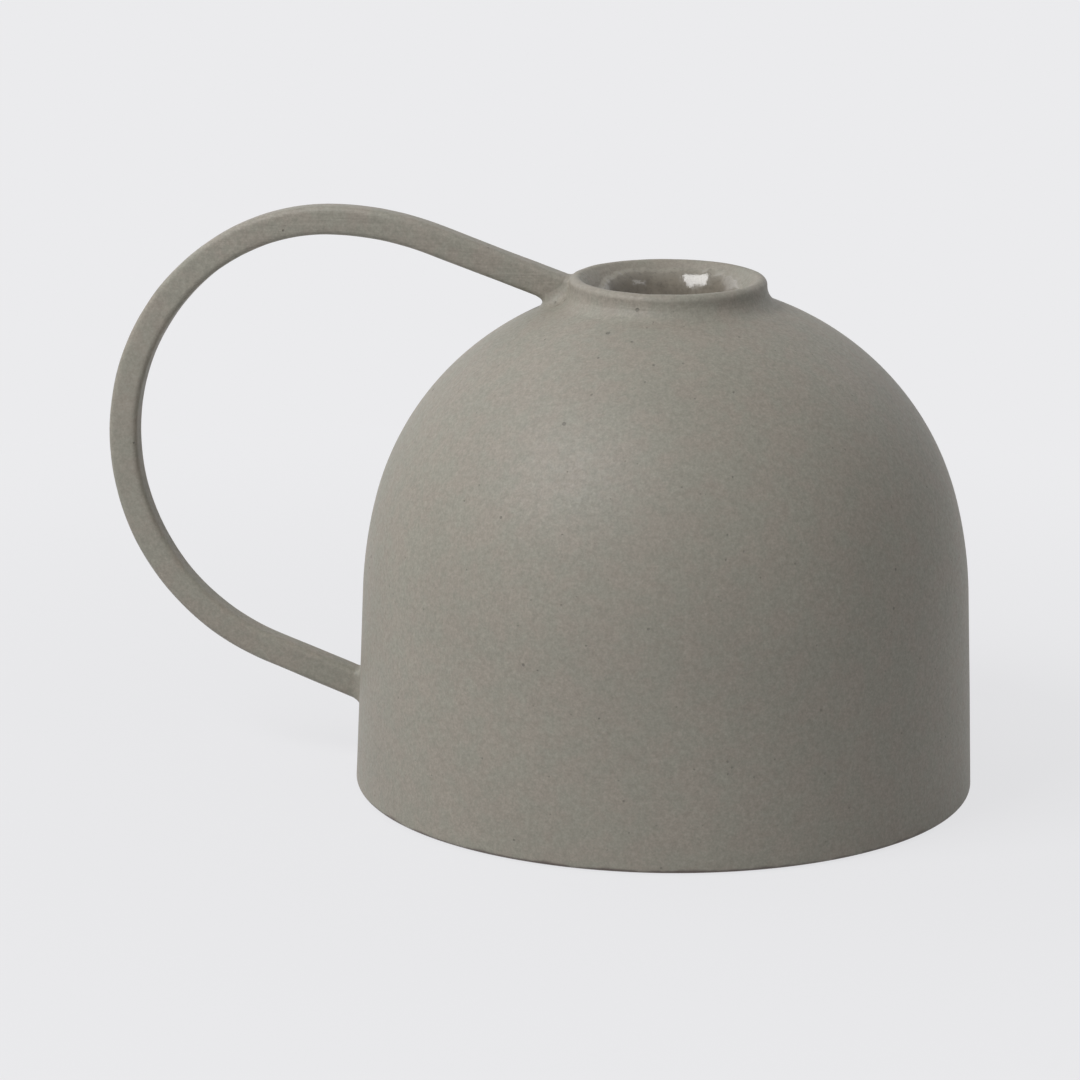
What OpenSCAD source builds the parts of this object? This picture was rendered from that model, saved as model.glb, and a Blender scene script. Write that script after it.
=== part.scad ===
// Stoneware candle holder: a hollow bell-shaped body with a short flared neck,
// a glazed candle cup hung inside it and a thin bar bent into a loop handle.
// Millimetres, +Z up, standing on z = 0, with the handle towards -X.

/* [Body] */
// Outer radius where the wall meets the table
base_r = 57; // [50:0.5:64]
// Thickness of the body's wall
wall = 4; // [3:0.25:5]
// Inward lean of the straight part of the wall, degrees
wall_lean = 2.2; // [0.5:0.1:4]
// Length of the straight part of the wall
wall_run = 36.6; // [28:0.2:46]
// Radius of the slow curve above the straight wall
shoulder_r = 78; // [60:1:100]
// Angle that the slow curve turns through, degrees
shoulder_turn = 12.5; // [6:0.5:18]
// Radius of the main curve of the dome
dome_r = 51.5; // [44:0.5:60]
// Angle that the main curve turns through, degrees
dome_turn = 31; // [24:0.5:36]
// Radius of the flatter curve round the neck
crown_r = 53; // [46:0.5:62]
// Rounding of the outer edge at the table
base_edge_r = 0.8; // [0.3:0.1:1.5]

/* [Foot ring] */
// Width of the ring inside the wall
foot_w = 4; // [2.5:0.25:7]
// Height of the ring
foot_h = 4.5; // [2.5:0.25:8]

/* [Neck] */
// Outer radius of the neck
collar_r = 18; // [17:0.25:20]
// Radius of the hollow curve from the dome up to the neck
cove_r = 4; // [2:0.25:6]
// Height of the upright band between that curve and the lip
lip_land = 0.6; // [0.2:0.1:3]
// Radius of the rounded lip
lip_r = 1.2; // [0.8:0.05:1.5]
// Radius of the flare from the lip down into the socket
flare_r = 12; // [9:0.25:16]
// Depth of the seat cut in the dome for the neck
seat_cut = 1.2; // [0.8:0.1:2]

/* [Candle socket] */
// Radius of the glazed socket, for a 22 mm candle
bore_r = 11.75; // [11:0.05:12.25]
// Depth of the socket below the flare
socket_depth = 24; // [16:0.5:32]
// Thickness of the cup's wall
cup_wall = 3.2; // [2.5:0.1:4]
// Thickness of the cup's floor
cup_floor = 3.5; // [2.5:0.25:6]
// Radius of the fillet of slip between the cup and the dome
cup_lute_r = 3; // [2:0.25:5]

/* [Glaze] */
// Thickness of the glaze coat
glaze_t = 0.4; // [0.3:0.05:0.6]
// Distance from the top of the lip down to the edge of the glaze
glaze_drop = 2; // [1.6:0.1:2.8]
// Radius of the glaze pooled in the corner of the socket
pool_r = 1.5; // [0.5:0.1:3]

/* [Handle bar] */
// Width of the bar across the loop
bar_w = 5; // [3.5:0.1:7]
// Thickness of the bar in the plane of the loop
bar_t = 5.4; // [3.5:0.1:6.5]
// Rounding of the bar's long edges
bar_edge_r = 1; // [0.5:0.1:1.5]

/* [Handle loop] */
// Distance from the top of the lip down to the bar's centre at the neck
joint_drop = 3.7; // [3.2:0.1:5]
// Slope of the bar where it leaves the neck, degrees
rise = 19.4; // [12:0.2:26]
// Length of the straight bar before the first bend
top_run = 26.6; // [20:0.2:36]
// Radius of the first, slow bend
slow_bend_r = 55.2; // [40:0.2:70]
// Angle of the first, slow bend, degrees
slow_bend = 19.6; // [12:0.2:26]
// Radius of the bend over the top of the loop
top_bend_r = 38.5; // [30:0.5:46]
// Angle of the bend over the top of the loop, degrees
top_bend = 38; // [30:0.5:46]
// Radius of the long bend down and back under
back_bend_r = 42.4; // [36:0.2:50]
// Angle of the long bend down and back under, degrees
back_bend = 121; // [114:0.5:128]

/* [Joints of slip] */
// How far the slip spreads out round the bar on the wall
wall_slip = 1.5; // [0.6:0.1:2.5]
// How far it spreads out on the neck, where the lip is close
neck_slip = 0.7; // [0.3:0.05:0.8]
// How far the slip climbs along the bar
slip_climb = 1.6; // [0.8:0.1:3]

/* [Hidden] */
clay = [0.56, 0.545, 0.515];
slip = [0.60, 0.58, 0.54];
glaze = [0.34, 0.33, 0.30];
round_fn = 128;
arc_step = 4;
edge_step = 30;

// Points are [radius, height]. A unit vector and points along an arc, in degrees
function unit(a) = [cos(a), sin(a)];
function steps(a0, a1, step) = max(2, ceil(abs(a1 - a0) / step));
function arc(c, r, a0, a1, step = arc_step) =
  let (n = steps(a0, a1, step)) [for (i = [0:n]) c + r * unit(a0 + (a1 - a0) * i / n)];

// Outline of the body: a leaning wall, then three tangent arcs towards the neck
shoulder_end = wall_lean + shoulder_turn;
dome_end = shoulder_end + dome_turn;
wall_top = [base_r - wall_run * sin(wall_lean), wall_run * cos(wall_lean)];
shoulder_c = wall_top - shoulder_r * unit(wall_lean);
dome_c = shoulder_c + (shoulder_r - dome_r) * unit(shoulder_end);
crown_c = dome_c + (dome_r - crown_r) * unit(dome_end);

// The hollow curve touches both the crown and the upright neck
cove_x = collar_r + cove_r;
cove_c = [cove_x, crown_c[1] + sqrt(pow(crown_r + cove_r, 2) - pow(cove_x - crown_c[0], 2))];
crown_end = atan2(cove_c[1] - crown_c[1], cove_c[0] - crown_c[0]);

// The rounded edge at the table touches the floor and the leaning wall
base_edge_c = [base_r - base_edge_r * (1 + sin(wall_lean)) / cos(wall_lean), base_edge_r];
base_in_r = base_r - wall / cos(wall_lean);

// The lip and the flare that runs from it into the socket
lip_c = [collar_r - lip_r, cove_c[1] + lip_land];
rim_z = lip_c[1] + lip_r;
throat_r = bore_r + glaze_t;
flare_x = throat_r + flare_r;
throat_z = lip_c[1] - sqrt(pow(flare_r - lip_r, 2) - pow(flare_x - lip_c[0], 2));
flare_c = [flare_x, throat_z];
flare_end = atan2(lip_c[1] - throat_z, lip_c[0] - flare_x);
function flare_angle(r, z) = 180 - asin((z - throat_z) / r);

// The cup hangs through a hole in the crown and reaches up to the neck's seat
cup_r = throat_r + cup_wall;
function crown_z(r, depth) = crown_c[1] + sqrt(pow(crown_r - depth, 2) - pow(r - crown_c[0], 2));
function crown_angle(r, depth) = acos((r - crown_c[0]) / (crown_r - depth));
cup_top = crown_z(cup_r, seat_cut);
socket_z = throat_z - socket_depth;
cup_base = socket_z - glaze_t - cup_floor;

// The fillet of slip touches the cup and the underside of the crown
under_r = crown_r - wall;
cup_lute_x = cup_r + cup_lute_r;
cup_lute_z = crown_c[1] + sqrt(pow(under_r - cup_lute_r, 2) - pow(cup_lute_x - crown_c[0], 2));
cup_lute_c = [cup_lute_x, cup_lute_z];
cup_lute_end = atan2(cup_lute_z - crown_c[1], cup_lute_x - crown_c[0]);

glaze_top = rim_z - glaze_drop;

// The bar's centre line: [distance from the body's axis, height, heading]
function run_end(s, l) = [s[0] + l * cos(s[2]), s[1] + l * sin(s[2]), s[2]];
function bend_c(s, r) = [s[0], s[1]] + r * unit(s[2] - 90);
function bend_end(s, r, turn) =
  let (p = bend_c(s, r) + r * unit(s[2] - turn + 90)) [p[0], p[1], s[2] - turn];
neck_joint = [collar_r, rim_z - joint_drop, rise];
slow_start = run_end(neck_joint, top_run);
top_start = bend_end(slow_start, slow_bend_r, slow_bend);
back_start = bend_end(top_start, top_bend_r, top_bend);
under_start = bend_end(back_start, back_bend_r, back_bend);

// The lower run goes on to the leaning wall
under_run = (base_r - under_start[1] * tan(wall_lean) - under_start[0])
  / (cos(under_start[2]) + sin(under_start[2]) * tan(wall_lean));
wall_joint = run_end(under_start, under_run);
bury = 3 * bar_t;
slip_sink = bar_t * 0.2;
slice_t = 0.02;

// The loop's furthest reach, where the centre line heads straight down
function reach(s, r, turn) = (s[2] + 90) * (s[2] - turn + 90) <= 0
  ? bend_c(s, r)[0] + r : max(s[0], bend_end(s, r, turn)[0]);
loop_reach = bar_t / 2 + max(
  reach(slow_start, slow_bend_r, slow_bend),
  reach(top_start, top_bend_r, top_bend),
  reach(back_start, back_bend_r, back_bend)
);

// The origin is below the middle of the whole length, so the body stands off it
body_reach = base_edge_c[0] + base_edge_r;
axis_x = (loop_reach - body_reach) / 2;

module on_axis() {
  translate([axis_x, 0, 0]) children();
}

module turned(points) {
  on_axis() rotate_extrude($fn = round_fn) polygon(points);
}

// Outer line of the body from the table edge up to the neck's seat
function body_line() = concat(
  arc(base_edge_c, base_edge_r, -90, wall_lean),
  arc(shoulder_c, shoulder_r, wall_lean, shoulder_end),
  arc(dome_c, dome_r, shoulder_end, dome_end),
  arc(crown_c, crown_r, dome_end, crown_end)
);

// Outer line of the neck from its seat up and over the lip
function neck_line() = concat(
  arc(cove_c, cove_r, crown_end + 180, 180),
  arc(lip_c, lip_r, 0, flare_end)
);

module dome_shell() {
  color(clay) turned(concat(
    body_line(),
    arc(crown_c, crown_r - seat_cut, crown_end, crown_angle(cup_r, seat_cut)),
    arc(crown_c, under_r, crown_angle(cup_r, wall), dome_end),
    arc(dome_c, dome_r - wall, dome_end, shoulder_end),
    arc(shoulder_c, shoulder_r - wall, shoulder_end, wall_lean),
    [[base_in_r, 0]]
  ));
}

// A coil of clay thrown into the inside corner at the table
module foot_ring() {
  top_r = base_in_r - foot_h * tan(wall_lean);
  n = steps(0, 90, arc_step);
  bead = [for (i = [0:n]) [top_r - foot_w * sin(90 * i / n), foot_h * cos(90 * i / n)]];
  color(clay) turned(concat([[base_in_r, 0]], bead));
}

module collar() {
  color(clay) turned(concat(
    neck_line(),
    arc(flare_c, flare_r, flare_end, flare_angle(flare_r, cup_top)),
    arc(crown_c, crown_r - seat_cut, crown_angle(cup_r, seat_cut), crown_end)
  ));
}

module candle_cup() {
  color(clay) turned(concat(
    [[0, cup_base], [cup_r - cup_floor / 2, cup_base], [cup_r, cup_base + cup_floor / 2], [cup_r, cup_top]],
    arc(flare_c, flare_r, flare_angle(flare_r, cup_top), 180),
    [[throat_r, socket_z - glaze_t], [0, socket_z - glaze_t]]
  ));
}

module cup_lute() {
  color(slip) turned(concat(
    arc(cup_lute_c, cup_lute_r, 180, cup_lute_end),
    arc(crown_c, under_r, cup_lute_end, crown_angle(cup_r, wall))
  ));
}

module glaze_lining() {
  thin_r = flare_r + glaze_t;
  pool_c = [bore_r - pool_r, socket_z + pool_r];
  color(glaze) turned(concat(
    [[0, socket_z - glaze_t], [throat_r, socket_z - glaze_t]],
    arc(flare_c, flare_r, 180, flare_angle(flare_r, glaze_top)),
    arc(flare_c, thin_r, flare_angle(thin_r, glaze_top), 180),
    arc(pool_c, pool_r, 0, -90),
    [[0, socket_z]]
  ));
}

// Everything inside the outer surface and below it, to cut what is joined onto it
module body_envelope() {
  rotate_extrude($fn = round_fn) polygon(concat(
    [[0, -bury], [base_edge_c[0], -bury]], body_line(), neck_line(), [[0, rim_z]]
  ));
}

// Section of the bar, [in the plane of the loop, across it], grown all round by more
function section(more = 0) =
  let (r = bar_edge_r + more, corner = [bar_t / 2 - bar_edge_r, bar_w / 2 - bar_edge_r])
  [for (q = [0:3]) each arc([corner[0] * sign(cos(90 * q + 45)), corner[1] * sign(sin(90 * q + 45))],
    r, 90 * q, 90 * q + 90, edge_step)];

// A straight length of the bar along its heading
module bar_run(s, l, more = 0) {
  translate([s[0], 0, s[1]]) rotate([0, 90 - s[2], 0]) linear_extrude(l) polygon(section(more));
}

// Stations round a bend, without its first one
function bend_stations(s, r, turn) =
  let (n = steps(0, turn, arc_step)) [for (i = [1:n]) bend_end(s, r, turn * i / n)];

function bar_stations() = concat(
  [run_end(neck_joint, -bury / 2), slow_start],
  bend_stations(slow_start, slow_bend_r, slow_bend),
  bend_stations(top_start, top_bend_r, top_bend),
  bend_stations(back_start, back_bend_r, back_bend),
  [run_end(under_start, under_run + bury)]
);

// The whole bar, its section carried square along the stations
module bar() {
  ring = section();
  m = len(ring);
  st = bar_stations();
  last = len(st) - 1;
  polyhedron(
    points = [for (s = st, q = ring) [s[0] + q[0] * sin(s[2]), q[1], s[1] - q[0] * cos(s[2])]],
    faces = concat(
      [[for (j = [0:m - 1]) j], [for (j = [m - 1:-1:0]) last * m + j]],
      [for (i = [0:last - 1], j = [0:m - 1]) let (k = (j + 1) % m)
        [i * m + k, i * m + j, (i + 1) * m + j, (i + 1) * m + k]]
    ),
    convexity = 4
  );
}

// The loop is drawn towards +X and then turned round to -X
module loop_side() {
  on_axis() mirror([1, 0, 0]) children();
}

module handle_strap() {
  color(clay) loop_side() difference() {
    bar();
    body_envelope();
  }
}

// A thin slice of the grown bar, a distance out from the joint
module slip_slice(s, out, more) {
  bar_run(run_end(s, out - slice_t / 2), slice_t, more);
}

// Slip round the bar's end, hollow in two slopes. s heads away from the body
module slip_ring(s, spread) {
  difference() {
    union() {
      hull() {
        slip_slice(s, -slip_sink, spread);
        slip_slice(s, slip_climb * 0.4, spread * 0.35);
      }
      hull() {
        slip_slice(s, -slip_sink, spread * 0.5);
        slip_slice(s, slip_climb, spread * 0.15);
      }
    }
    bar_run(run_end(s, -bury / 2), bury);
    body_envelope();
  }
}

module upper_lute() {
  color(slip) loop_side() slip_ring(neck_joint, neck_slip);
}

module lower_lute() {
  back = [wall_joint[0], wall_joint[1], wall_joint[2] + 180];
  color(slip) loop_side() slip_ring(back, wall_slip);
}

dome_shell();
foot_ring();
collar();
candle_cup();
cup_lute();
glaze_lining();
handle_strap();
upper_lute();
lower_lute();
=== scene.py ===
"""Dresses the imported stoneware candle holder: turned body, neck, cup, looped bar, slip and glaze."""

from math import acos, asin, atan2, cos, degrees, pi, radians, sin, sqrt, tan

import bmesh
import bpy
from mathutils import Matrix, Vector, noise
from mathutils.bvhtree import BVHTree


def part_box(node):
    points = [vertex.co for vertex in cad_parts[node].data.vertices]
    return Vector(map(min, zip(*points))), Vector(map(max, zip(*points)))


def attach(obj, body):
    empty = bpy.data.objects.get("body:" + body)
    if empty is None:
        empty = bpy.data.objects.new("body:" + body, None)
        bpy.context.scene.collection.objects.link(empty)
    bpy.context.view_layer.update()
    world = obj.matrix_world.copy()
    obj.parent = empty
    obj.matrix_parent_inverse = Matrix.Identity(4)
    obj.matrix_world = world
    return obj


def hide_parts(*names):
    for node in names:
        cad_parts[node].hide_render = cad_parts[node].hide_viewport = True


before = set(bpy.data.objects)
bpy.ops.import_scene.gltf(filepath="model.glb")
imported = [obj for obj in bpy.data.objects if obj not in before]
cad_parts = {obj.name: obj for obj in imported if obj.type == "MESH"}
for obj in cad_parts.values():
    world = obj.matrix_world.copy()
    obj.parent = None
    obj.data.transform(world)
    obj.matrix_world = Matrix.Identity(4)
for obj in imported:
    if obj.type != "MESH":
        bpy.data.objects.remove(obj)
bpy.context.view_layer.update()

# Sizes of the body, as in the part's source, in metres and degrees
MM = 0.001
BASE_R = 57 * MM
WALL = 4 * MM
WALL_LEAN = 2.2
WALL_RUN = 36.6 * MM
SHOULDER_R = 78 * MM
SHOULDER_TURN = 12.5
DOME_R = 51.5 * MM
DOME_TURN = 31
CROWN_R = 53 * MM
BASE_EDGE_R = 0.8 * MM
FOOT_W = 4 * MM
FOOT_H = 4.5 * MM
BEAD_STEPS = 14

# Neck and socket
COLLAR_R = 18 * MM
COVE_R = 4 * MM
LIP_LAND = 0.6 * MM
LIP_R = 1.2 * MM
FLARE_R = 12 * MM
SEAT_CUT = 1.2 * MM
BORE_R = 11.75 * MM
SOCKET_DEPTH = 24 * MM
CUP_WALL = 3.2 * MM
CUP_FLOOR = 3.5 * MM
CUP_EDGE_R = 2.2 * MM
CUP_LUTE_R = 3 * MM
GLAZE_T = 0.4 * MM
GLAZE_DROP = 2 * MM
POOL_R = 1.5 * MM

# Handle
BAR_W = 5 * MM
BAR_T = 5.4 * MM
BAR_EDGE_R = 1.15 * MM
JOINT_DROP = 3.7 * MM
RISE = 19.4
TOP_RUN = 26.6 * MM
BENDS = ((55.2 * MM, 19.6), (38.5 * MM, 38), (42.4 * MM, 121))
SINK = 1.6 * MM

# Fineness
ROUND_STEPS = 256
BODY_STEP = 1.5
SMALL_STEP = 9
RUN_STEP = 1.2 * MM
SHARP_ANGLE = radians(38)

low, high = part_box("dome_shell")
AXIS = Vector(((low.x + high.x) / 2, 0, 0))


def unit(angle):
    return Vector((cos(radians(angle)), sin(radians(angle))))


# Outline of the body: a leaning wall and three tangent arcs, then the hollow curve up to the neck
shoulder_end = WALL_LEAN + SHOULDER_TURN
dome_end = shoulder_end + DOME_TURN
wall_top = Vector((BASE_R - WALL_RUN * sin(radians(WALL_LEAN)), WALL_RUN * cos(radians(WALL_LEAN))))
shoulder_c = wall_top - SHOULDER_R * unit(WALL_LEAN)
dome_c = shoulder_c + (SHOULDER_R - DOME_R) * unit(shoulder_end)
crown_c = dome_c + (DOME_R - CROWN_R) * unit(dome_end)
cove_x = COLLAR_R + COVE_R
cove_c = Vector((cove_x, crown_c.y + sqrt((CROWN_R + COVE_R) ** 2 - (cove_x - crown_c.x) ** 2)))
crown_end = degrees(atan2(cove_c.y - crown_c.y, cove_c.x - crown_c.x))
lean = radians(WALL_LEAN)
base_edge_c = Vector((BASE_R - BASE_EDGE_R * (1 + sin(lean)) / cos(lean), BASE_EDGE_R))
base_in_r = BASE_R - WALL / cos(lean)
lip_c = Vector((COLLAR_R - LIP_R, cove_c.y + LIP_LAND))
rim_z = lip_c.y + LIP_R
throat_r = BORE_R + GLAZE_T
flare_x = throat_r + FLARE_R
flare_c = Vector((flare_x, lip_c.y - sqrt((FLARE_R - LIP_R) ** 2 - (flare_x - lip_c.x) ** 2)))
flare_end = degrees(atan2(lip_c.y - flare_c.y, lip_c.x - flare_x))
cup_r = throat_r + CUP_WALL
socket_z = flare_c.y - SOCKET_DEPTH
cup_base = socket_z - GLAZE_T - CUP_FLOOR


def crown_angle(r, depth):
    return degrees(acos((r - crown_c.x) / (CROWN_R - depth)))


def flare_angle(r, z):
    return 180 - degrees(asin((z - flare_c.y) / r))


cup_top = crown_c.y + sqrt((CROWN_R - SEAT_CUT) ** 2 - (cup_r - crown_c.x) ** 2)
under_r = CROWN_R - WALL
lute_x = cup_r + CUP_LUTE_R
lute_c = Vector((lute_x, crown_c.y + sqrt((under_r - CUP_LUTE_R) ** 2 - (lute_x - crown_c.x) ** 2)))
lute_end = degrees(atan2(lute_c.y - crown_c.y, lute_x - crown_c.x))


# Profiles are drawn in the plane y = 0 with the body's axis at x = 0
class Profile:
    """A chain of points and arcs that is then turned on the wheel."""

    def __init__(self, r, z):
        self.bm = bmesh.new()
        self.first = self.last = self.bm.verts.new((r, 0, z))

    def line(self, r, z, step=None):
        start = self.last.co.copy()
        end = Vector((r, 0, z))
        count = max(1, round((end - start).length / step)) if step else 1
        for i in range(1, count + 1):
            out = bmesh.ops.extrude_vert_indiv(self.bm, verts=[self.last])
            self.last = out["verts"][0]
            self.last.co = start.lerp(end, i / count)
        return self

    def arc(self, centre, a0, a1, step=BODY_STEP):
        """Swings the last point about centre from angle a0 to a1. It has to stand at a0."""
        count = max(2, round(abs(a1 - a0) / step))
        out = bmesh.ops.spin(self.bm, geom=[self.last], cent=(centre.x, 0, centre.y), axis=(0, -1, 0),
                             angle=radians(a1 - a0), steps=count, use_duplicate=False)
        self.last = [g for g in out["geom_last"] if isinstance(g, bmesh.types.BMVert)][0]
        return self

    def close(self):
        self.bm.edges.new((self.last, self.first))
        return self

    def turn(self, steps=ROUND_STEPS):
        geom = self.bm.verts[:] + self.bm.edges[:]
        bmesh.ops.spin(self.bm, geom=geom, cent=(0, 0, 0), axis=(0, 0, 1), angle=2 * pi,
                       steps=steps, use_merge=True, use_duplicate=False)
        bmesh.ops.remove_doubles(self.bm, verts=self.bm.verts[:], dist=1e-6)
        bmesh.ops.recalc_face_normals(self.bm, faces=self.bm.faces[:])
        return self.bm


def at(centre, radius, angle):
    """The point at an angle on a circle."""
    return centre + radius * unit(angle)


# Traces of the hand: one gentle unevenness shared by all the turned pieces, so that their seams meet
TOUCH = 0.16 * MM
MOUTH_DROP = 0.55 * MM
MOUTH_SHIFT = -0.22 * MM
MOUTH_LOW = rim_z - 5.5 * MM
MOUTH_RIPPLE = 0.07 * MM
KNEAD = 0.14 * MM
WIPE = 0.28


def smooth(t):
    t = min(1, max(0, t))
    return t * t * (3 - 2 * t)


def touched(co):
    """Where the hand left a point of the turned body. It only ever moves inwards or down."""
    r = Vector((co.x, co.y, 0))
    if r.length < 1e-7:
        return co
    out = r.normalized()
    swell = 0.5 + 0.5 * noise.noise(Vector((out.x * 1.3, out.y * 1.3, co.z * 26)))
    swell += 0.18 * noise.noise(Vector((out.x * 5, out.y * 5, co.z * 70 + 9)))
    moved = co - out * TOUCH * max(0, swell) * smooth(r.length / (12 * MM))
    mouth = smooth((co.z - MOUTH_LOW) / (rim_z - MOUTH_LOW))
    front = 0.5 - 0.5 * out.y * min(1, r.length / COLLAR_R)
    ripple = noise.noise(Vector((out.x * 4, out.y * 4, 3)))
    moved.z -= mouth * (MOUTH_DROP * front + MOUTH_RIPPLE * (1 + ripple))
    moved.x += mouth * MOUTH_SHIFT
    return moved


def touch(bm):
    for v in bm.verts:
        v.co = touched(v.co)


def finished(bm, name, node_names, material):
    """Makes the piece an object that stands for its CAD nodes."""
    bm.normal_update()
    for face in bm.faces:
        face.smooth = True
    for edge in bm.edges:
        edge.smooth = len(edge.link_faces) == 2 and edge.calc_face_angle() < SHARP_ANGLE
    mesh = bpy.data.meshes.new(name)
    bm.to_mesh(mesh)
    bm.free()
    piece = bpy.data.objects.new(name, mesh)
    bpy.context.scene.collection.objects.link(piece)
    mesh.materials.append(material)
    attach(piece, "root")
    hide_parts(*node_names)
    return piece


def on_axis(bm):
    bmesh.ops.translate(bm, verts=bm.verts[:], vec=AXIS)
    return bm


# Materials
class Recipe:
    """A material's nodes, mixed step by step."""

    def __init__(self, name):
        self.material = bpy.data.materials.new(name)
        self.material.use_nodes = True
        self.nodes = self.material.node_tree.nodes
        self.links = self.material.node_tree.links
        self.shader = self.nodes["Principled BSDF"]
        self.place = self.nodes.new("ShaderNodeTexCoord").outputs["Object"]

    def node(self, kind, inputs=None, **settings):
        made = self.nodes.new(kind)
        for key, value in settings.items():
            setattr(made, key, value)
        for key, value in (inputs or {}).items():
            if isinstance(value, bpy.types.NodeSocket):
                self.links.new(value, made.inputs[key])
            else:
                made.inputs[key].default_value = value
        return made

    def grain(self, scale, detail=2, roughness=0.5, stretch=(1, 1, 1), offset=(0, 0, 0)):
        """Noise on the piece's own place, from 0 to 1."""
        where = self.node("ShaderNodeMapping", {"Vector": self.place, "Scale": stretch, "Location": offset})
        return self.node("ShaderNodeTexNoise", {"Vector": where.outputs[0], "Scale": scale, "Detail": detail,
                                                "Roughness": roughness}).outputs["Fac"]

    def ranged(self, value, from_low, from_high, to_low, to_high, soft=False):
        return self.node("ShaderNodeMapRange", {"Value": value, "From Min": from_low, "From Max": from_high,
                                                "To Min": to_low, "To Max": to_high},
                         interpolation_type="SMOOTHSTEP" if soft else "LINEAR").outputs["Result"]

    def maths(self, operation, a, b=0.5):
        return self.node("ShaderNodeMath", {0: a, 1: b}, operation=operation).outputs[0]

    def mixed(self, factor, a, b, blend="MIX"):
        mix = self.node("ShaderNodeMix", {0: factor}, data_type="RGBA", blend_type=blend)
        for slot, value in ((6, a), (7, b)):
            if isinstance(value, bpy.types.NodeSocket):
                self.links.new(value, mix.inputs[slot])
            else:
                mix.inputs[slot].default_value = (*value, 1)
        return mix.outputs[2]

    def finish(self, colour, roughness, bump_height, bump_depth, **constants):
        self.links.new(colour, self.shader.inputs["Base Color"])
        self.links.new(roughness, self.shader.inputs["Roughness"])
        bump = self.node("ShaderNodeBump", {"Height": bump_height, "Distance": bump_depth, "Strength": 1.0})
        self.links.new(bump.outputs[0], self.shader.inputs["Normal"])
        for key, value in constants.items():
            self.shader.inputs[key.replace("_", " ")].default_value = value
        return self.material


# Dark reddish-brown for the thin band along the foot's bottom edge, where the body meets the table
FOOT_LINE_DARK = (0.085, 0.058, 0.05)
NECK_MARKS = (0.074, 0.089)


def clay(name, base, warm, cool, dark_foot_band=True, rings=True):
    """Unglazed stoneware: fine mottled grain, sparse pits, faint turning marks and a thin darker
    reddish-brown band at the very bottom of the foot.
    """
    made = Recipe(name)
    blotch = made.ranged(made.grain(210, 3, 0.65), 0.36, 0.64, 0, 1, soft=True)
    colour = made.mixed(blotch, warm, cool)
    colour = made.mixed(0.62, colour, base)
    cloud = made.ranged(made.grain(22, 2, 0.5, offset=(4, 1, 7)), 0.3, 0.7, 0.955, 1.04)
    mottle = made.ranged(made.grain(1150, 3, 0.62), 0.28, 0.72, 0.885, 1.115)
    fleck = made.ranged(made.grain(2600, 1, 0.5), 0.3, 0.7, 0.92, 1.08)
    shade = made.maths("MULTIPLY", made.maths("MULTIPLY", cloud, mottle), fleck)

    # Pits where a grain burnt out: few cells hold one, each with its own size
    aside = (0.013, 0.021, 0.008)
    where = made.node("ShaderNodeMapping", {"Vector": made.place, "Location": aside}).outputs[0]
    cells = made.node("ShaderNodeTexVoronoi", {"Vector": where, "Scale": 210.0})
    pick = made.node("ShaderNodeSeparateColor", {"Color": cells.outputs["Color"]})
    size = made.ranged(pick.outputs[0], 0.5, 1.0, 0, 0.1)
    pit = made.maths("SUBTRACT", size, cells.outputs["Distance"])
    pit = made.ranged(pit, 0, 0.03, 0, 1, soft=True)
    small = made.node("ShaderNodeTexVoronoi", {"Vector": where, "Scale": 620.0})
    small_pick = made.node("ShaderNodeSeparateColor", {"Color": small.outputs["Color"]})
    small_size = made.ranged(small_pick.outputs[1], 0.72, 1.0, 0, 0.19)
    speck = made.maths("SUBTRACT", small_size, small.outputs["Distance"])
    speck = made.ranged(speck, 0, 0.08, 0, 0.7, soft=True)
    dark = made.maths("MAXIMUM", pit, speck)
    shade = made.maths("MULTIPLY", shade, made.ranged(dark, 0, 1, 1, 0.62))
    grey = made.node("ShaderNodeCombineColor", {0: shade, 1: shade, 2: shade}).outputs[0]
    colour = made.mixed(1.0, colour, grey, "MULTIPLY")

    height = made.node("ShaderNodeSeparateXYZ", {"Vector": made.place}).outputs[2]
    # Darker reddish-brown towards the table: the band fades out within about a millimetre of it, its height
    # wavering with noise
    if dark_foot_band:
        edge = made.ranged(made.grain(160, 2, 0.6, stretch=(1, 1, 0.2)), 0.3, 0.7, 0.25 * MM, 1.0 * MM)
        near = made.maths("DIVIDE", height, edge)
        near = made.ranged(near, 0.4, 1.3, 0.8, 0, soft=True)
        colour = made.mixed(near, colour, FOOT_LINE_DARK)
    peel = made.grain(1500, 2, 0.55)
    broad = made.grain(420, 2, 0.5)
    relief = made.maths("ADD", peel, made.maths("MULTIPLY", broad, 1.1))
    if rings:
        mark = made.grain(60, 3, 0.6, stretch=(0.35, 0.35, 16), offset=(0, 0, 2))
        near_neck = made.ranged(height, *NECK_MARKS, 0.25, 3.2, soft=True)
        relief = made.maths("ADD", relief, made.maths("MULTIPLY", mark, near_neck))
    relief = made.maths("SUBTRACT", relief, made.maths("MULTIPLY", dark, 2.5))
    satin = made.ranged(made.grain(1300, 2, 0.6, offset=(2, 2, 2)), 0.3, 0.7, 0.5, 0.64)
    return made.finish(colour, satin, relief, 0.042 * MM, Specular_IOR_Level=0.5)


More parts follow.
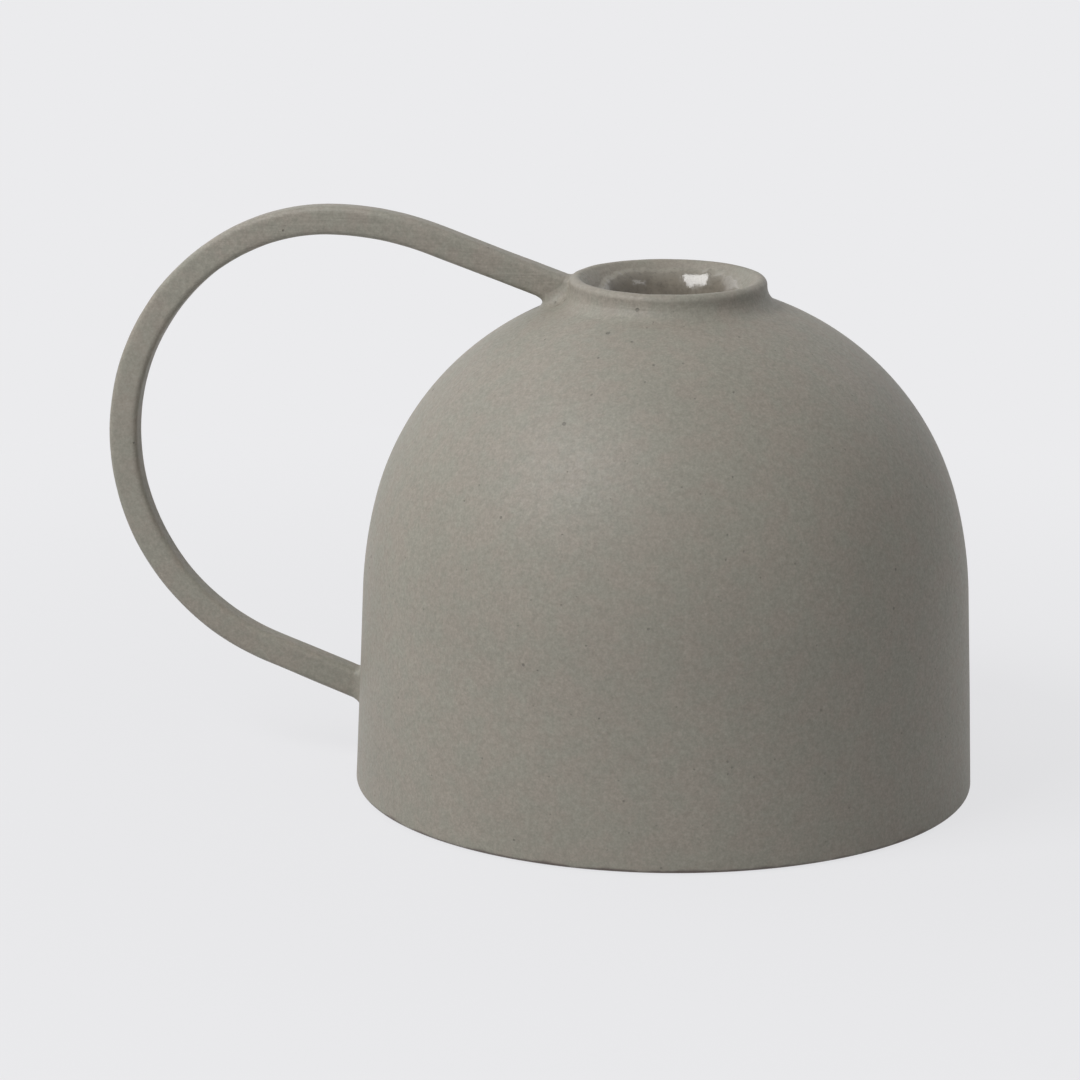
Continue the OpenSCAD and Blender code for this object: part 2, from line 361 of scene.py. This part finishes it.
def glaze(name):
    """Glossy translucent brown-grey glaze with faint mottling."""
    made = Recipe(name)
    run = made.ranged(made.grain(260, 3, 0.6), 0.32, 0.68, 0, 1, soft=True)
    colour = made.mixed(run, GLAZE_DEEP, GLAZE_PALE)
    thin = made.node("ShaderNodeAttribute", attribute_name="thin").outputs["Fac"]
    colour = made.mixed(thin, colour, STONE)
    speckle = made.ranged(made.grain(1500, 2, 0.6), 0.25, 0.5, 0.75, 1)
    grey = made.node("ShaderNodeCombineColor", {0: speckle, 1: speckle, 2: speckle}).outputs[0]
    colour = made.mixed(1.0, colour, grey, "MULTIPLY")
    gloss = made.ranged(made.grain(500, 2, 0.5), 0.3, 0.7, 0.1, 0.2)
    gloss = made.maths("ADD", gloss, made.ranged(thin, 0.6, 1.0, 0, 0.35))
    return made.finish(colour, gloss, made.grain(520, 2, 0.5), 0.085 * MM, Specular_IOR_Level=0.55)


GLAZE_DEEP = (0.15, 0.128, 0.095)
GLAZE_PALE = (0.215, 0.188, 0.145)
STONE = (0.275, 0.255, 0.212)
STONE_WARM = (0.292, 0.255, 0.216)
STONE_COOL = (0.253, 0.257, 0.214)
stoneware = clay("fired stoneware", STONE, STONE_WARM, STONE_COOL)
slip_clay = clay("fired slip", STONE, STONE_WARM, STONE_COOL, dark_foot_band=False, rings=False)
inside_glaze = glaze("socket glaze")


# The turned pieces
def dome_wall():
    """The bell, from its table edge up to the neck's seat and back down inside."""
    p = Profile(base_edge_c.x, 0)
    p.arc(base_edge_c, -90, WALL_LEAN, SMALL_STEP)
    p.line(*wall_top, 0.9 * MM)
    p.arc(shoulder_c, WALL_LEAN, shoulder_end, 0.9)
    p.arc(dome_c, shoulder_end, dome_end)
    p.arc(crown_c, dome_end, crown_end)
    p.line(*at(crown_c, CROWN_R - SEAT_CUT, crown_end))
    p.arc(crown_c, crown_end, crown_angle(cup_r, SEAT_CUT), 3)
    p.line(*at(crown_c, under_r, crown_angle(cup_r, WALL)))
    p.arc(crown_c, crown_angle(cup_r, WALL), dome_end, 2.5)
    p.arc(dome_c, dome_end, shoulder_end, 2.5)
    p.arc(shoulder_c, shoulder_end, WALL_LEAN, 2.5)
    p.line(base_in_r, 0, 3 * MM)
    return p.close().turn()


def foot_bead():
    """The coil of clay pressed into the inside corner at the table."""
    top_r = base_in_r - FOOT_H * tan(lean)
    p = Profile(base_in_r, 0)
    p.line(top_r, FOOT_H)
    for i in range(1, BEAD_STEPS + 1):
        angle = radians(90 * i / BEAD_STEPS)
        p.line(top_r - FOOT_W * sin(angle), FOOT_H * cos(angle))
    return p.close().turn(192)


def neck():
    """The hollow curve, the short upright band, the rounded lip and the wide flare inside it."""
    p = Profile(*at(cove_c, COVE_R, crown_end + 180))
    p.arc(cove_c, crown_end + 180, 180, 4)
    p.line(COLLAR_R, lip_c.y, 0.3 * MM)
    p.arc(lip_c, 0, flare_end, SMALL_STEP)
    p.arc(flare_c, flare_end, flare_angle(FLARE_R, cup_top), 1.6)
    p.line(*at(crown_c, CROWN_R - SEAT_CUT, crown_angle(cup_r, SEAT_CUT)))
    p.arc(crown_c, crown_angle(cup_r, SEAT_CUT), crown_end, 3)
    return p.close().turn()


def cup():
    """The closed cup with a rounded bottom edge, hung below the neck."""
    p = Profile(0, cup_base)
    p.line(cup_r - CUP_EDGE_R, cup_base, 1.5 * MM)
    p.arc(Vector((cup_r - CUP_EDGE_R, cup_base + CUP_EDGE_R)), -90, 0, SMALL_STEP)
    p.line(cup_r, cup_top, 1.2 * MM)
    p.line(*at(flare_c, FLARE_R, flare_angle(FLARE_R, cup_top)))
    p.arc(flare_c, flare_angle(FLARE_R, cup_top), 180, 3)
    p.line(throat_r, socket_z - GLAZE_T, 2 * MM)
    p.line(0, socket_z - GLAZE_T)
    return p.turn(192)


def cup_slip():
    """The fillet of slip between the cup and the underside of the dome."""
    p = Profile(cup_r, lute_c.y)
    p.arc(lute_c, 180, lute_end, 6)
    p.arc(crown_c, lute_end, crown_angle(cup_r, WALL), 2)
    return p.close().turn(192)


# The glaze's upper edge, in degrees of the flare: how far it fades, how far it stays thin and dull, where it
# starts to stray, and how much higher or lower it ends at the sides and at the back
EDGE_FADE = 7.0
THIN_BAND = 18.0
LINING_LOW = 170
LINING_SIDE = 9.0
LINING_BACK = 15.0
EDGE_SINK = 0.03 * MM


def socket_glaze():
    """The coat in the cup and up the flare. Its upper edge runs ragged, thins out and turns dull."""
    glaze_top = rim_z - GLAZE_DROP
    edge = flare_angle(FLARE_R, glaze_top)
    p = Profile(0, socket_z)
    p.line(BORE_R - POOL_R, socket_z, 2 * MM)
    p.arc(Vector((BORE_R - POOL_R, socket_z + POOL_R)), -90, 0, SMALL_STEP)
    p.line(BORE_R, flare_c.y, 1.2 * MM)
    p.arc(flare_c, 180, edge, 1.0)
    p.line(*at(flare_c, FLARE_R - 0.05 * MM, edge))
    p.arc(flare_c, edge, 180, 1.0)
    p.line(throat_r + 0.02 * MM, socket_z - GLAZE_T, 2 * MM)
    p.line(0, socket_z - GLAZE_T)
    bm = p.turn()
    thin = bm.verts.layers.float.new("thin")
    for v in bm.verts:
        if v.co.z < flare_c.y:
            continue
        r = Vector((v.co.x, v.co.y, 0))
        out = r.normalized()
        from_centre = Vector((r.length - flare_c.x, v.co.z - flare_c.y))
        angle = degrees(atan2(from_centre.y, from_centre.x))
        ragged = LINING_SIDE - LINING_BACK * smooth(out.y * 1.25)
        ragged += 3.0 * noise.noise(out * 2.2 + Vector((5, 0, 0))) + 2.4 * noise.noise(out * 9)
        ragged += 1.6 * noise.noise(out * 30)
        share = min(1, max(0, (LINING_LOW - angle) / (LINING_LOW - edge)))
        new_angle = angle + share * ragged
        depth = from_centre.length - FLARE_R
        fade = smooth((new_angle - (edge + ragged)) / EDGE_FADE)
        v[thin] = 1 - smooth((new_angle - (edge + ragged)) / THIN_BAND)
        if depth > -0.02 * MM:
            depth = -EDGE_SINK + (depth + EDGE_SINK) * fade
        moved = flare_c + (FLARE_R + depth) * unit(new_angle)
        v.co = Vector((out.x * moved.x, out.y * moved.x, moved.y))
    return bm


# The handle's bar, drawn round to -X. A station is a place on its centre line and a heading
def along(heading):
    return Vector((-cos(radians(heading)), 0, sin(radians(heading))))


def inward(heading):
    """Square to the bar, towards the inside of the loop."""
    return Vector((-sin(radians(heading)), 0, -cos(radians(heading))))


def bend_centre(place, heading, radius):
    return place + inward(heading) * radius


def bend_end(place, heading, radius, turn):
    return bend_centre(place, heading, radius) - inward(heading - turn) * radius, heading - turn


neck_place = AXIS + Vector((-COLLAR_R, 0, rim_z - JOINT_DROP))
under_place, under_heading = neck_place + along(RISE) * TOP_RUN, RISE
for bend_r, bend_turn in BENDS:
    under_place, under_heading = bend_end(under_place, under_heading, bend_r, bend_turn)
reach = BASE_R - under_place.z * tan(lean) - (AXIS.x - under_place.x)
under_run = reach / (cos(radians(under_heading)) + sin(radians(under_heading)) * tan(lean))
wall_place = under_place + along(under_heading) * under_run


def ring_at(bm, place, heading, more=0.0):
    """A closed ring of edges of the bar's section at a station."""
    half_t = BAR_T / 2 + more
    half_w = BAR_W / 2 + more
    edge = BAR_EDGE_R + more
    start = bm.verts.new((half_t, -half_w + edge, 0))
    verts = [start]
    for quarter in range(4):
        side = Vector((half_t, half_w)) if quarter % 2 == 0 else Vector((half_w, half_t))
        turn = Matrix.Rotation(radians(90 * quarter), 3, "Z")
        flat = turn @ Vector((side.x, side.y - edge, 0))
        begin = verts[-1].co.copy()
        for i in range(1, 5):
            out = bmesh.ops.extrude_vert_indiv(bm, verts=[verts[-1]])
            out["verts"][0].co = begin.lerp(flat, i / 4)
            verts.append(out["verts"][0])
        centre = turn @ Vector((side.x - edge, side.y - edge, 0))
        out = bmesh.ops.spin(bm, geom=[verts[-1]], cent=centre, axis=(0, 0, 1), angle=pi / 2, steps=5,
                             use_duplicate=False)
        verts.append([g for g in out["geom_last"] if isinstance(g, bmesh.types.BMVert)][0])
    bmesh.ops.remove_doubles(bm, verts=bm.verts[:], dist=1e-6)
    across = Vector((0, 1, 0))
    turn = Matrix((inward(heading), across, along(heading))).transposed()
    for v in bm.verts:
        v.co = place + turn @ v.co
    return bm.edges[:]


def carried(bm, edges, vector, steps):
    """Draws the ring out in a straight run and gives its new edges."""
    for _ in range(steps):
        out = bmesh.ops.extrude_edge_only(bm, edges=edges)
        edges = [g for g in out["geom"] if isinstance(g, bmesh.types.BMEdge)]
        verts = [g for g in out["geom"] if isinstance(g, bmesh.types.BMVert)]
        bmesh.ops.translate(bm, verts=verts, vec=vector / steps)
    return edges


def bar():
    """The bar drawn out of the neck, bent three times and let into the wall."""
    bm = bmesh.new()
    start = neck_place - along(RISE) * SINK
    edges = ring_at(bm, start, RISE)
    first = list(edges)
    run = TOP_RUN + SINK
    edges = carried(bm, edges, along(RISE) * run, round(run / RUN_STEP))
    place, heading = neck_place + along(RISE) * TOP_RUN, RISE
    for radius, turn in BENDS:
        verts = list(dict.fromkeys(v for e in edges for v in e.verts))
        steps = round(radians(turn) * radius / RUN_STEP)
        centre = bend_centre(place, heading, radius)
        out = bmesh.ops.spin(bm, geom=verts + edges, cent=centre, axis=(0, -1, 0),
                             angle=radians(turn), steps=steps, use_duplicate=False)
        edges = [g for g in out["geom_last"] if isinstance(g, bmesh.types.BMEdge)]
        place, heading = bend_end(place, heading, radius, turn)
    run = under_run + SINK
    edges = carried(bm, edges, along(heading) * run, round(run / RUN_STEP))
    bmesh.ops.edgeloop_fill(bm, edges=first)
    bmesh.ops.edgeloop_fill(bm, edges=edges)
    bmesh.ops.recalc_face_normals(bm, faces=bm.faces[:])
    bm.normal_update()
    for v in bm.verts:
        knead = 0.5 + 0.5 * noise.noise(v.co * 85) + 0.22 * noise.noise(v.co * 260)
        v.co -= v.normal * KNEAD * max(0, knead)
    return bm


FILLET_STEPS = 9
FILLET_SINK = 0.5 * MM
LOOK_FROM = 20 * MM


def slip_joint(surface, place, heading, climb_low, climb_high, spread_low, spread_high):
    """Slip wiped round the bar's end: a hollow fillet from the bar out onto the clay behind it."""
    bm = bmesh.new()
    edges = ring_at(bm, place, heading)
    out_way = along(heading)
    offsets = [v.co - place for v in bm.verts]
    index = {v: i for i, v in enumerate(bm.verts)}

    def landed(offset):
        hit = surface.ray_cast(place + offset + out_way * LOOK_FROM, -out_way)
        return hit[0] if hit[0] else place + offset

    # Each ring: how far it has spread, how far it still climbs, and its lift off the clay
    rings = [(1 - cos(radians(90 * i / FILLET_STEPS)), 1 - sin(radians(90 * i / FILLET_STEPS)),
              -0.05 * MM) for i in range(FILLET_STEPS + 1)]
    rings += [(0.92, 0, -FILLET_SINK), (0, 0, -FILLET_SINK)]
    current = edges
    for number, (growth, rise, lift) in enumerate(rings):
        if number:
            made = bmesh.ops.extrude_edge_only(bm, edges=current)
            current = [g for g in made["geom"] if isinstance(g, bmesh.types.BMEdge)]
            fresh = {v for e in current for v in e.verts}
            pairs = [(e.other_vert(v), i) for v, i in index.items() for e in v.link_edges]
            index = {v: i for v, i in pairs if v in fresh}
        for v, i in index.items():
            offset = offsets[i]
            down = smooth(0.5 - 0.5 * offset.z / (BAR_T * 0.6))
            spread = spread_high + (spread_low - spread_high) * down
            climb = climb_high + (climb_low - climb_high) * down
            wipe = 1 + WIPE * noise.noise((place + offset) * 420)
            wide = offset + offset.normalized() * spread * wipe * growth
            if number == len(rings) - 1:
                wide = offset * 0.86
            elif number == 0:
                wide = offset * 0.985
            v.co = landed(wide) + out_way * (climb * wipe * rise + lift)
    bmesh.ops.bridge_loops(bm, edges=edges + current)
    bmesh.ops.recalc_face_normals(bm, faces=bm.faces[:])
    return bm


body_bm = dome_wall()
touch(body_bm)
on_axis(body_bm)
neck_bm = neck()
touch(neck_bm)
on_axis(neck_bm)
shell_mesh = bpy.data.meshes.new("shell_for_slip")
shell_bm = bmesh.new()
for source in (body_bm, neck_bm):
    source.to_mesh(shell_mesh)
    shell_bm.from_mesh(shell_mesh)
shell_tree = BVHTree.FromBMesh(shell_bm)
shell_bm.free()
bpy.data.meshes.remove(shell_mesh)

finished(body_bm, "dome_wall", ["dome_shell"], stoneware)
finished(neck_bm, "neck", ["collar"], stoneware)
for make, name, node_name, slot_name, material in (
        (foot_bead, "foot_bead", "foot_ring", "stoneware", stoneware),
        (cup, "cup", "candle_cup", "stoneware", stoneware),
        (cup_slip, "cup_slip", "cup_lute", "slip", slip_clay),
        (socket_glaze, "socket_glaze", "glaze_lining", "glaze", inside_glaze)):
    piece_bm = make()
    touch(piece_bm)
    finished(on_axis(piece_bm), name, [node_name], material)
finished(bar(), "handle_bar", ["handle_strap"], stoneware)
for place, heading, reaches, name, node_name in (
        (neck_place, RISE, (4.3 * MM, 0.7 * MM, 3.5 * MM, 0.4 * MM), "neck_slip", "upper_lute"),
        (wall_place, under_heading + 180, (2.0 * MM, 1.8 * MM, 2.0 * MM, 2.2 * MM),
         "wall_slip", "lower_lute")):
    finished(slip_joint(shell_tree, place, heading, *reaches), name, [node_name], slip_clay)

# Camera at the photograph's angle
PAN = radians(6.8)
YAW, PITCH, ROLL = radians(-1.86), radians(14.02), radians(0.30)
DISTANCE, EYE_HEIGHT = 0.71022, 0.2223
pan = Matrix.Rotation(PAN, 3, "Z")
ahead = Vector((sin(YAW) * cos(PITCH), cos(YAW) * cos(PITCH), -sin(PITCH)))
level = Vector((cos(YAW), -sin(YAW), 0))
above = level.cross(ahead)
right = level * cos(ROLL) + above * sin(ROLL)
upright = above * cos(ROLL) - level * sin(ROLL)
camera = bpy.data.objects.new("camera", bpy.data.cameras.new("camera"))
camera.data.lens = 133.0
camera.data.sensor_width = 36
eye = pan @ Vector((0, -DISTANCE, EYE_HEIGHT)) + AXIS
camera.matrix_world = Matrix.Translation(eye) @ Matrix(
    (pan @ right, pan @ upright, -(pan @ ahead))).transposed().to_4x4()
bpy.context.scene.collection.objects.link(camera)
bpy.context.scene.camera = camera

# Floor: pale to the camera, with a soft share of real light that holds the shadow
PALE = (0.8308, 0.8308, 0.8469)
floor_bm = bmesh.new()
bmesh.ops.create_circle(floor_bm, cap_ends=True, segments=96, radius=7)
floor_mesh = bpy.data.meshes.new("floor")
bmesh.ops.translate(floor_bm, verts=floor_bm.verts[:], vec=(0, 0, -0.0002))
floor_bm.to_mesh(floor_mesh)
floor_bm.free()
floor = bpy.data.objects.new("floor", floor_mesh)
bpy.context.scene.collection.objects.link(floor)
paper = bpy.data.materials.new("pale paper")
paper.use_nodes = True
nodes, links = paper.node_tree.nodes, paper.node_tree.links
nodes.clear()
output = nodes.new("ShaderNodeOutputMaterial")
glow = nodes.new("ShaderNodeEmission")
glow.inputs["Color"].default_value = (*PALE, 1)
glow.inputs["Strength"].default_value = 1.0
matte = nodes.new("ShaderNodeBsdfDiffuse")
matte.inputs["Color"].default_value = (0.72, 0.72, 0.735, 1)
rays = nodes.new("ShaderNodeLightPath")
seen = nodes.new("ShaderNodeMath")
seen.operation = "MAXIMUM"
links.new(rays.outputs["Is Camera Ray"], seen.inputs[0])
links.new(rays.outputs["Is Transmission Ray"], seen.inputs[1])
seen_too = nodes.new("ShaderNodeMath")
seen_too.operation = "MAXIMUM"
links.new(seen.outputs[0], seen_too.inputs[0])
links.new(rays.outputs["Is Glossy Ray"], seen_too.inputs[1])
place = nodes.new("ShaderNodeTexCoord")
away = nodes.new("ShaderNodeVectorMath")
away.operation = "LENGTH"
links.new(place.outputs["Object"], away.inputs[0])
even = nodes.new("ShaderNodeMapRange")
even.interpolation_type = "SMOOTHSTEP"
for slot, value in (("From Min", 0.06), ("From Max", 0.3), ("To Min", 0.86), ("To Max", 1.0)):
    even.inputs[slot].default_value = value
links.new(away.outputs["Value"], even.inputs["Value"])
shadow_share = nodes.new("ShaderNodeMath")
shadow_share.operation = "MULTIPLY"
links.new(even.outputs["Result"], shadow_share.inputs[1])
links.new(seen_too.outputs[0], shadow_share.inputs[0])
blend = nodes.new("ShaderNodeMixShader")
links.new(shadow_share.outputs[0], blend.inputs[0])
links.new(matte.outputs[0], blend.inputs[1])
links.new(glow.outputs[0], blend.inputs[2])
links.new(blend.outputs[0], output.inputs["Surface"])
floor_mesh.materials.append(paper)

# World: even light on the object, and the pale backdrop to the camera and in reflections
world = bpy.data.worlds.new("studio")
bpy.context.scene.world = world
world.use_nodes = True
world_nodes, world_links = world.node_tree.nodes, world.node_tree.links
background = world_nodes["Background"]
world_rays = world_nodes.new("ShaderNodeLightPath")
shown = world_rays.outputs["Is Camera Ray"]
for kind in ("Is Glossy Ray", "Is Transmission Ray"):
    either = world_nodes.new("ShaderNodeMath")
    either.operation = "MAXIMUM"
    world_links.new(shown, either.inputs[0])
    world_links.new(world_rays.outputs[kind], either.inputs[1])
    shown = either.outputs[0]
sky = world_nodes.new("ShaderNodeMix")
sky.data_type = "RGBA"
sky.inputs[6].default_value = (0.2, 0.2, 0.203, 1)
sky.inputs[7].default_value = (*PALE, 1)
world_links.new(shown, sky.inputs[0])
world_links.new(sky.outputs[2], background.inputs["Color"])

# Soft lights, placed by their direction from the body: degrees left of the camera and above the table
BODY_MIDDLE = AXIS + Vector((0, 0, 0.05))
CAMERA_SIDE = degrees(atan2(eye.y, eye.x - AXIS.x))


def soft_light(name, left, up, away, width, height, watts):
    lamp = bpy.data.lights.new(name, "AREA")
    lamp.shape = "RECTANGLE"
    lamp.size = width
    lamp.size_y = height
    lamp.energy = watts
    side = radians(CAMERA_SIDE - left)
    flat = cos(radians(up))
    way = Vector((cos(side) * flat, sin(side) * flat, sin(radians(up))))
    light = bpy.data.objects.new(name, lamp)
    facing = way.to_track_quat("Z", "Y").to_matrix().to_4x4()
    light.matrix_world = Matrix.Translation(BODY_MIDDLE + way * away) @ facing
    bpy.context.scene.collection.objects.link(light)


soft_light("key", 52, 46, 1.1, 0.6, 0.42, 8.8)
soft_light("left_fill", 128, 36, 1.3, 0.9, 0.9, 3.2)
soft_light("right_rim", -135, 32, 1.2, 0.5, 0.7, 1.0)
soft_light("mouth_glint", -58, 44, 1.1, 0.3, 0.13, 0.4)

bpy.context.scene.view_settings.view_transform = "Standard"
